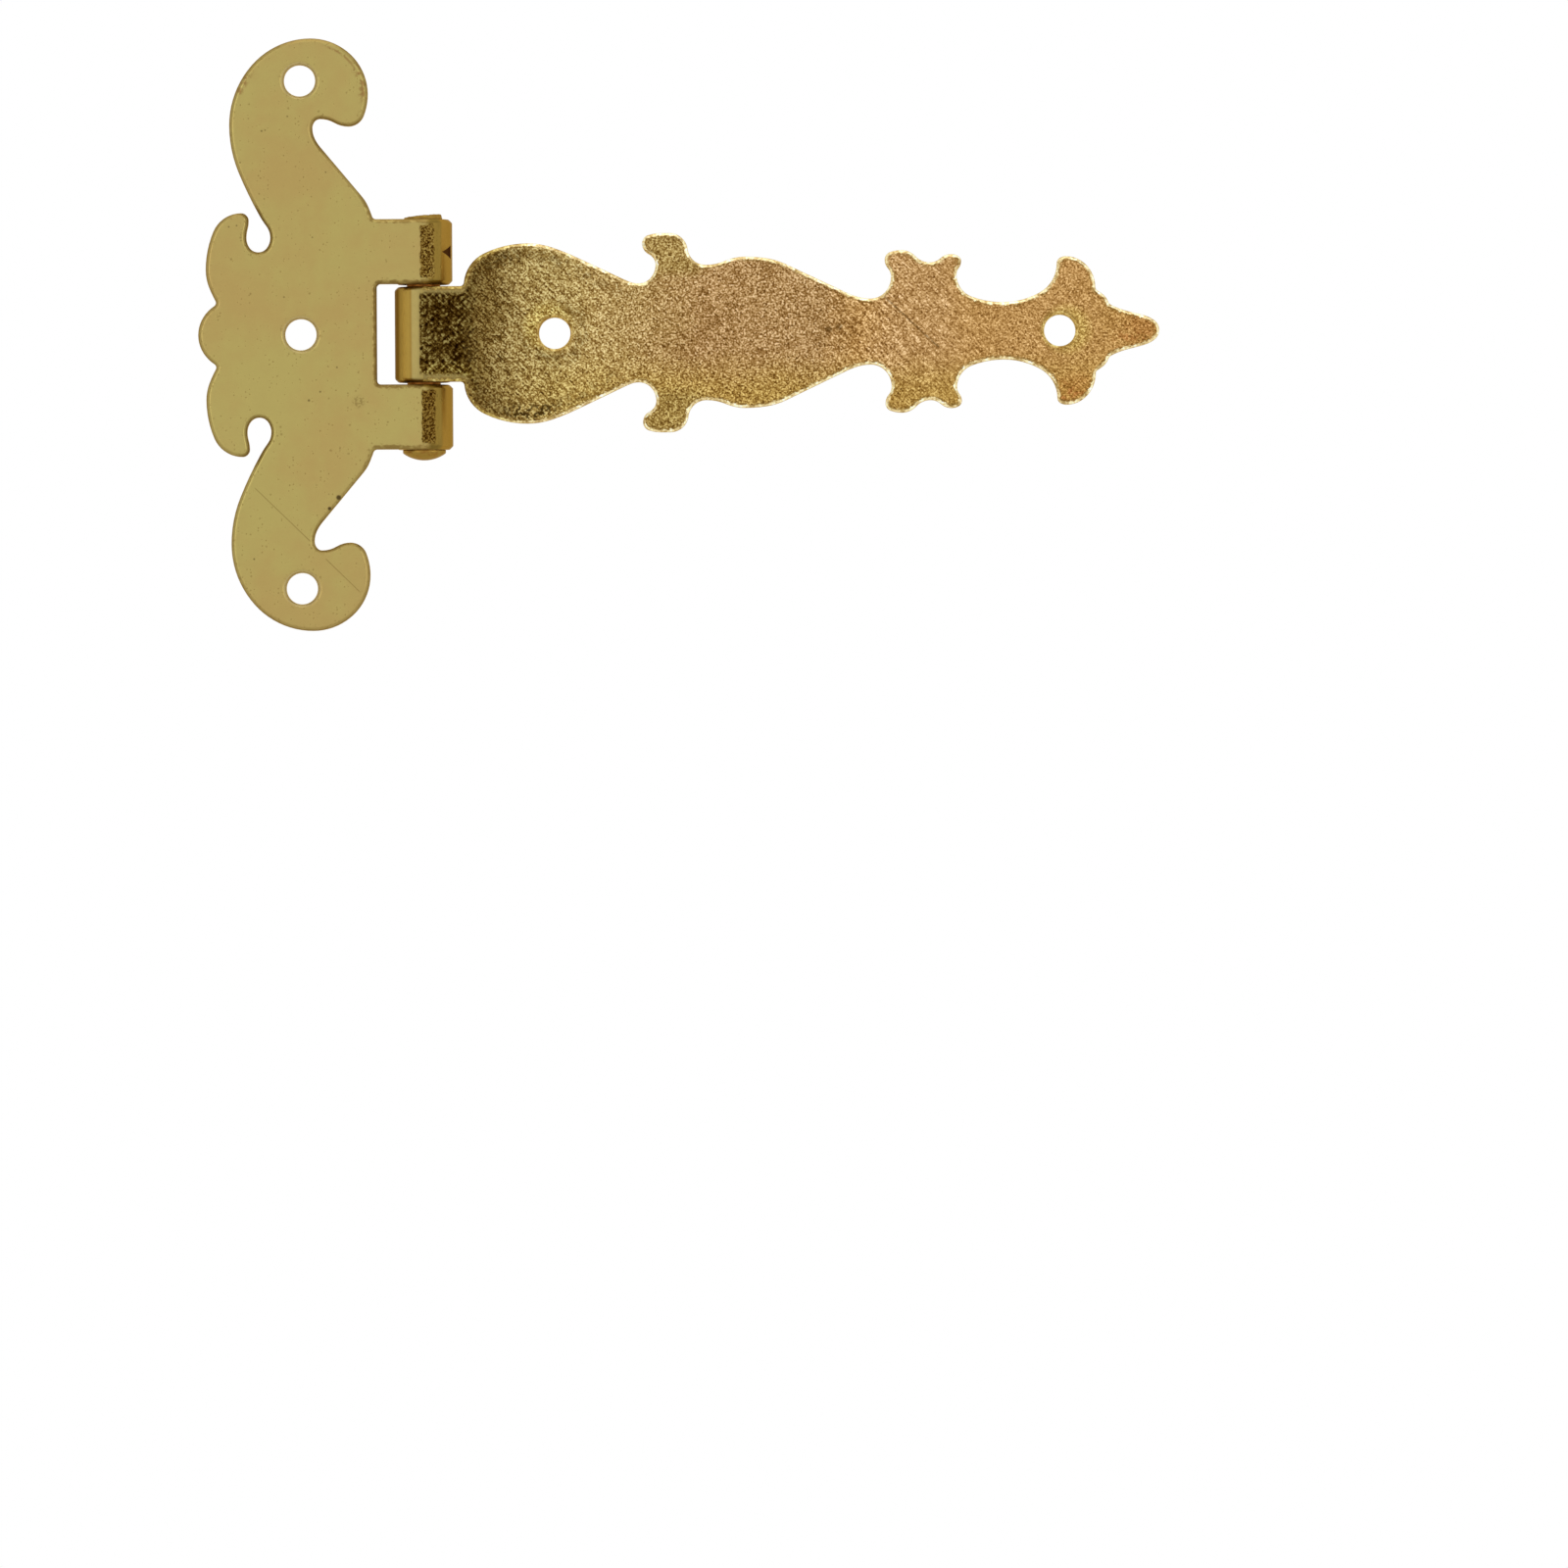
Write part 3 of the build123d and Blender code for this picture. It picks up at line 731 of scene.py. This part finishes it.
    # Painted highlight: a pale band along the arm's rounded edges
    clean = front * edge.falling(0.15, 0.7) * out.falling(4.5, 6.5) * abs(z).falling(6.0, 6.5)
    face = bench.blend(clean * 0.7, face, finish.roll_pale_highlight)
    left = (1.02 + 1.224 * (blotch - 0.5)) * (1.0 - 0.45 * spots_mask(x, z, STRAP_ARM_DARK_PATCHES))
    base = bench.blend((z + ragged).falling(-4.4, -3.3), finish.arm_brown, finish.arm_gold)
    armed = bench.flecked(base, ((2.0 * crackle) ** 9.5 * left).least(3.6))
    face = bench.blend(arm, face, armed)

    # Painted highlight on the broken rims, with a thin, patchy line of painted shade inside them
    fray = bench.noise(point, 1.9, 3.0, 0.65) - 0.5
    gleam = 0.6 * bench.noise(point, 0.8, 2.0, 0.6) + 0.4 * bench.noise(point, 3.3, 1.0, 0.5)
    inset = edge - depth
    shade = front * (inset + 0.5 * fray).falling(0.0, 0.14) * blotch.rising(0.38, 0.55)
    bright = front * (inset + 0.7 * fray).falling(-0.17, -0.06)
    face = bench.blend(shade * 0.6, face, finish.rim_shade)
    # Painted highlight on the broken edge of each hole
    holes = ((root_hole, 0.0), (tip_hole, 0.0))
    lips = spots_mask(x, z, [(middle, hole + HOLE_HIGHLIGHT_REACH, HOLE_HIGHLIGHT_SOFT) for middle in holes])
    rim = bench.blend(out.rising(8.0, 16.0), finish.rim_highlight_gold, finish.rim_highlight_pale)
    rim = bench.blend(lips, rim, finish.lip_highlight_gold)
    rim = bench.flecked(rim, (2.0 * gleam) ** 2.0)
    face = bench.blend(bright, face, rim)

    # Rolled knuckle with painted reflection bands: a painted highlight strip, painted shade lines, and painted
    # shade where it turns under and at its ends
    roll = roll_reflection_ramp(
        bench,
        angle,
        (
            (-180, finish.roll_gold),
            (-30, finish.roll_gold),
            (8, finish.roll_pale_highlight),
            (22, finish.roll_pale_highlight),
            (25, finish.roll_shade_line),
            # Scaled copies of the gold are painted shade (below 1) and painted highlight (above 1)
            (29, scaled(finish.roll_gold, 0.84)),
            (35, scaled(finish.roll_gold, 0.96)),
            (42, scaled(finish.roll_gold, 1.18)),
            (47, finish.roll_gold),
            (62, finish.roll_turn_shade),
            (100, finish.roll_turn_shade),
            (150, finish.roll_gold),
        ),
    )
    roll = bench.dimmed(roll, 0.92 + 0.16 * blotch)
    # Painted shade where the knuckle's ends turn away
    ends = (depth + 0.15 * fray).rising(0.1, 0.3)
    roll = bench.blend(ends * 0.8, roll, finish.roll_turn_shade)
    colour = bench.blend(rolled * (1.0 - arm), face, roll)

    wall = sheared_wall(bench, (x, y, z), depth, finish, shape)
    colour = bench.blend(walls, colour, wall)
    roughness = 0.38 + 0.14 * texture + 0.1 * arm - 0.1 * bright
    height = texture + 0.6 * arm * crackle
    return bench.metal(colour, roughness, height, 0.03 * MM)


def pin_finish(finish):
    """Smooth gold heads with brown mottle, and a shank darkened with painted shade where it shows between the
    knuckles.
    """
    bench = Bench(bpy.data.materials.new("pin_rivet_gold"))
    point, _, _, z = bench.place()
    mottle = bench.noise(point, 1.1, 3.0, 0.6)
    grain = bench.noise(point, 3.0, 2.0, 0.6)
    middle = (BARREL_TOP + BARREL_LOW) / 2 / MM
    reach = (BARREL_TOP - BARREL_LOW) / 2 / MM
    shank = abs(z - middle).falling(reach - 2.2, reach - 1.6)
    clean = (mottle + 0.3 * (grain - 0.5)).rising(0.34, 0.62)
    colour = bench.blend(clean, finish.pin_mottle_and_gap_shade, finish.pin_gold)
    colour = bench.blend(0.55, colour, finish.pin_gold)
    # Painted shade on the shank, which shows only in the gaps between the knuckles
    colour = bench.blend(shank * 0.85, colour, finish.pin_mottle_and_gap_shade)
    colour = bench.dimmed(colour, 0.85 + 0.3 * grain)
    roughness = 0.28 + 0.2 * mottle
    return bench.metal(colour, roughness, mottle + 0.4 * grain, 0.03 * MM)


def deselect_all():
    if bpy.context.object and bpy.context.object.mode != "OBJECT":
        bpy.ops.object.mode_set(mode="OBJECT")
    bpy.ops.object.select_all(action="DESELECT")


def edit(piece):
    """Puts one piece alone into edit mode."""
    deselect_all()
    piece.select_set(True)
    bpy.context.view_layer.objects.active = piece
    bpy.ops.object.mode_set(mode="EDIT")


def select_faces(piece, wanted):
    """Selects the faces of the piece in edit mode that pass the test, and counts them."""
    mesh = bmesh.from_edit_mesh(piece.data)
    bpy.ops.mesh.select_mode(type="FACE")
    bpy.ops.mesh.select_all(action="DESELECT")
    found = 0
    for face in mesh.faces:
        if wanted(face):
            face.select_set(True)
            found += 1
    bmesh.update_edit_mesh(piece.data, loop_triangles=False, destructive=False)
    return found


def merged_copy(node, name):
    """A copy of a solid's mesh with its loose triangles joined into clean faces."""
    deselect_all()
    solid = frame["nodes"][node]
    solid.select_set(True)
    bpy.context.view_layer.objects.active = solid
    bpy.ops.object.duplicate()
    piece = bpy.context.view_layer.objects.active
    piece.name = name
    piece.data.name = name
    for tag in list(piece.keys()):
        del piece[tag]
    bpy.ops.mesh.customdata_custom_splitnormals_clear()
    edit(piece)
    bpy.ops.mesh.select_all(action="SELECT")
    bpy.ops.mesh.remove_doubles(threshold=MERGE_REACH)
    bpy.ops.mesh.dissolve_limited(angle_limit=radians(0.4))
    bpy.ops.object.mode_set(mode="OBJECT")
    return piece


def apply_modifier(piece, kind, **settings):
    modifier = piece.modifiers.new(kind.title(), kind)
    for name, setting in settings.items():
        setattr(modifier, name, setting)
    bpy.context.view_layer.objects.active = piece
    bpy.ops.object.modifier_apply(modifier=modifier.name)


def round_corners(piece, width):
    apply_modifier(
        piece,
        "BEVEL",
        width=width,
        segments=3,
        limit_method="ANGLE",
        angle_limit=radians(28),
        use_clamp_overlap=True,
    )


def smooth(piece):
    """Smooth shading that keeps the wide flat faces flat."""
    deselect_all()
    piece.select_set(True)
    bpy.context.view_layer.objects.active = piece
    bpy.ops.object.shade_smooth_by_angle(angle=radians(35))
    apply_modifier(piece, "WEIGHTED_NORMAL", keep_sharp=True, weight=50)


def under_skin(point, side, sheet):
    """Metres that a point of a leaf lies under its seen skin."""
    across = point.x - PIN_X
    if across * side > MERGE_REACH or point.y > sheet + ROLL_SLACK:
        return KNUCKLE_RADIUS - hypot(across, point.y - PIN_Y)
    return point.y


def on_skin(face, side, sheet):
    return all(abs(under_skin(vertex.co, side, sheet)) < SKIN_SLACK for vertex in face.verts)


def grid_skin(piece, side, shape):
    """Cuts the seen skin into small cells, so that it can carry the wear and the painted highlights and shade
    along its edges.
    """

    def cut_by_plane(face):
        steps = [vertex.co.dot(normal) for vertex in face.verts]
        return min(steps) < cut < max(steps) and on_skin(face, side, shape.sheet)

    low = Vector(piece.bound_box[0])
    high = Vector(piece.bound_box[6])
    edit(piece)
    for normal in (Vector((1, 0, 0)), Vector((0, 0, 1))):
        cells = int((high - low).dot(normal) / shape.wear_grid)
        for cell in range(1, cells):
            cut = low.dot(normal) + cell * shape.wear_grid
            if select_faces(piece, cut_by_plane):
                bpy.ops.mesh.bisect(plane_co=normal * cut, plane_no=normal, threshold=0.01 * MM)
    bpy.ops.object.mode_set(mode="OBJECT")


def mark_wear(piece, side, shape):
    """Writes each point's distance from the broken edge, in millimetres, on the mesh."""
    mesh = bmesh.new()
    mesh.from_mesh(piece.data)
    skin = {face for face in mesh.faces if on_skin(face, side, shape.sheet)}
    rim = [edge for edge in mesh.edges if len({face in skin for face in edge.link_faces}) == 2]
    samples = []
    for edge in rim:
        start, end = (vertex.co for vertex in edge.verts)
        count = max(1, int((end - start).length / RIM_STEP))
        samples.extend(start.lerp(end, step / count) for step in range(count + 1))
    tree = KDTree(len(samples))
    for index, sample in enumerate(samples):
        tree.insert(sample, index)
    tree.balance()
    seen = {vertex.index for face in skin for vertex in face.verts}
    reach = shape.wear_reach / MM
    wear = [
        min(reach, tree.find(vertex.co)[2] / MM) if vertex.index in seen else 0.0
        for vertex in mesh.verts
    ]
    mesh.free()
    layer = piece.data.attributes.new("edge_mm", "FLOAT", "POINT")
    layer.data.foreach_set("value", wear)


def make_leaf(node, name, side, shape):
    """A leaf with rounded edges, whose skin knows how far each point is from its edge."""
    piece = merged_copy(node, name)
    round_corners(piece, shape.rim_round)
    grid_skin(piece, side, shape)
    mark_wear(piece, side, shape)
    smooth(piece)
    return piece


def dress(piece, material, node, body):
    """Gives a piece its finish and puts it in the place of its solid."""
    piece.data.materials.clear()
    piece.data.materials.append(material)
    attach(piece, body)
    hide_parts(node)


class HINGE_OT_scrolled_plate(bpy.types.Operator):
    """Make the scrolled plate with its two knuckles"""

    bl_idname = "hinge.scrolled_plate"
    bl_label = "Scrolled Plate"
    bl_options = {"REGISTER", "UNDO"}

    def execute(self, context):
        shape = context.scene.hinge_shape
        piece = make_leaf("plate_leaf", "scrolled_plate", PLATE_SIDE, shape)
        material = plate_finish(context.scene.hinge_finish, shape)
        dress(piece, material, "plate_leaf", "plate")
        return {"FINISHED"}


class HINGE_OT_fretted_strap(bpy.types.Operator):
    """Make the fretted strap with its knuckle"""

    bl_idname = "hinge.fretted_strap"
    bl_label = "Fretted Strap"
    bl_options = {"REGISTER", "UNDO"}

    def execute(self, context):
        shape = context.scene.hinge_shape
        piece = make_leaf("strap_leaf", "fretted_strap", STRAP_SIDE, shape)
        material = strap_finish(context.scene.hinge_finish, shape)
        dress(piece, material, "strap_leaf", "strap")
        return {"FINISHED"}


class HINGE_OT_rivet_pin(bpy.types.Operator):
    """Make the rivet pin with its domed head and its hammered one"""

    bl_idname = "hinge.rivet_pin"
    bl_label = "Rivet Pin"
    bl_options = {"REGISTER", "UNDO"}

    def execute(self, context):
        shape = context.scene.hinge_shape
        piece = merged_copy("hinge_pin", "rivet_pin")
        round_corners(piece, shape.head_round)
        self.hammer(piece, shape)
        smooth(piece)
        material = pin_finish(context.scene.hinge_finish)
        dress(piece, material, "hinge_pin", "plate")
        return {"FINISHED"}

    def hammer(self, piece, shape):
        """Leans the peened head over and dents it."""

        def flat_end(face):
            height = face.calc_center_median().z
            return face.normal.z > 0.99 and height > BARREL_TOP - PEEN_END_SLACK

        def peened_head(face):
            return face.calc_center_median().z > BARREL_TOP - PEEN_HEAD_DEPTH

        edit(piece)
        if not select_faces(piece, flat_end):
            raise RuntimeError("the pin has no flat end to hammer")
        for _ in range(PEEN_RINGS):
            bpy.ops.mesh.inset(thickness=PEEN_RING_WIDTH)
        bpy.ops.mesh.poke()
        select_faces(piece, peened_head)
        seat = (PIN_X, PIN_Y, BARREL_TOP)
        bpy.ops.transform.rotate(value=shape.peen_lean, orient_axis="Y", center_override=seat)
        bpy.ops.transform.vertex_random(
            offset=shape.peen_dents, uniform=0.3, seed=shape.peen_seed
        )
        bpy.ops.object.mode_set(mode="OBJECT")


class HINGE_OT_studio(bpy.types.Operator):
    """Make the floor, the room, the lamps and the camera"""

    bl_idname = "hinge.studio"
    bl_label = "Studio"
    bl_options = {"REGISTER", "UNDO"}

    def execute(self, context):
        stage = context.scene.hinge_stage
        deselect_all()
        self.lay_floor(stage)
        self.light_room(context, stage)
        self.hang_lamps(stage)
        self.set_camera(context, stage)
        context.scene.view_settings.view_transform = "Standard"
        return {"FINISHED"}

    def lay_floor(self, stage):
        """A round matt floor that fades to white towards its rim."""
        bpy.ops.mesh.primitive_circle_add(
            vertices=96,
            radius=stage.floor_radius,
            fill_type="NGON",
            location=(stage.view_x, 0, stage.floor_z),
        )
        floor = bpy.context.view_layer.objects.active
        floor.name = "floor"
        bpy.ops.object.transform_apply(location=True)
        bench = Bench(bpy.data.materials.new("floor_pale"))
        _, x, y, _ = bench.place()
        east = x - stage.view_x / MM
        spread = (east * east + y * y) ** 0.5 / (stage.floor_radius / MM)
        fade = spread.rising(0.35, 0.95)
        matt = bench.node("ShaderNodeBsdfDiffuse", sockets={"Color": stage.floor_tone})
        white = bench.node("ShaderNodeEmission", sockets={"Color": (1, 1, 1), "Strength": 1.0})
        mixed = bench.node("ShaderNodeMixShader", sockets={0: fade, 1: matt, 2: white})
        bench.node("ShaderNodeOutputMaterial", sockets={"Surface": mixed})
        floor.data.materials.append(bench.owner)

    def light_room(self, context, stage):
        """A white room that lights matt surfaces a little less than it shows."""
        world = bpy.data.worlds.new("white_room")
        context.scene.world = world
        bench = Bench(world)
        path = bench.node("ShaderNodeLightPath")
        seen = path.part("Is Camera Ray").most(path.part("Is Glossy Ray"))
        seen = seen.most(path.part("Is Transmission Ray"))
        level = seen + (1.0 - seen) * stage.room_level
        room = bench.node(
            "ShaderNodeBackground", sockets={"Color": (1, 1, 1), "Strength": level}
        )
        bench.node("ShaderNodeOutputWorld", sockets={"Surface": room})

    def hang_lamps(self, stage):
        """Soft boxes: name, place from the middle of the view, width, height and power."""
        middle = Vector((stage.view_x, 0, 0))
        lamps = (
            ("left_box", (-0.75, -0.85, 0.25), 0.55, 0.8, stage.side_power),
            ("right_box", (0.85, -0.8, 0.2), 0.55, 0.8, stage.side_power),
            ("top_box", (0.0, 0.1, 1.0), 0.8, 0.8, stage.over_power),
        )
        for name, offset, width, height, watts in lamps:
            aim = -Vector(offset)
            bpy.ops.object.light_add(
                type="AREA",
                location=middle + Vector(offset),
                rotation=aim.to_track_quat("-Z", "Y").to_euler(),
            )
            lamp = bpy.context.view_layer.objects.active
            lamp.name = name
            lamp.data.shape = "RECTANGLE"
            lamp.data.size = width
            lamp.data.size_y = height
            lamp.data.energy = watts
            lamp.visible_camera = False

    def set_camera(self, context, stage):
        distance = stage.view_width * stage.lens / stage.sensor
        bpy.ops.object.camera_add(
            location=(stage.view_x, -distance, stage.view_z),
            rotation=(radians(90), stage.view_roll, 0),
        )
        camera = bpy.context.view_layer.objects.active
        camera.data.lens = stage.lens
        camera.data.sensor_width = stage.sensor
        camera.data.clip_start = 0.01
        camera.data.clip_end = 20
        context.scene.camera = camera


class HINGE_PT_sidebar(bpy.types.Panel):
    """The hinge's pieces, sizes and colours"""

    bl_idname = "HINGE_PT_sidebar"
    bl_label = "Tee Hinge"
    bl_space_type = "VIEW_3D"
    bl_region_type = "UI"
    bl_category = "Tee Hinge"

    def draw(self, context):
        for maker in MAKERS:
            self.layout.operator(maker.bl_idname)
        for owner in GROUPS:
            group = getattr(context.scene, owner)
            box = self.layout.box()
            for name in group.__annotations__:
                box.prop(group, name)


MAKERS = (
    HINGE_OT_scrolled_plate,
    HINGE_OT_fretted_strap,
    HINGE_OT_rivet_pin,
    HINGE_OT_studio,
)
GROUPS = {"hinge_shape": HingeShape, "hinge_finish": HingeFinish, "hinge_stage": HingeStage}


def register():
    for made in (*GROUPS.values(), *MAKERS, HINGE_PT_sidebar):
        bpy.utils.register_class(made)
    for name, group in GROUPS.items():
        setattr(bpy.types.Scene, name, PointerProperty(type=group))


def unregister():
    for name in GROUPS:
        delattr(bpy.types.Scene, name)
    for made in reversed((*GROUPS.values(), *MAKERS, HINGE_PT_sidebar)):
        bpy.utils.unregister_class(made)


def main():
    register()
    bpy.ops.hinge.scrolled_plate()
    bpy.ops.hinge.fretted_strap()
    bpy.ops.hinge.rivet_pin()
    bpy.ops.hinge.studio()


if __name__ == "__main__":
    main()
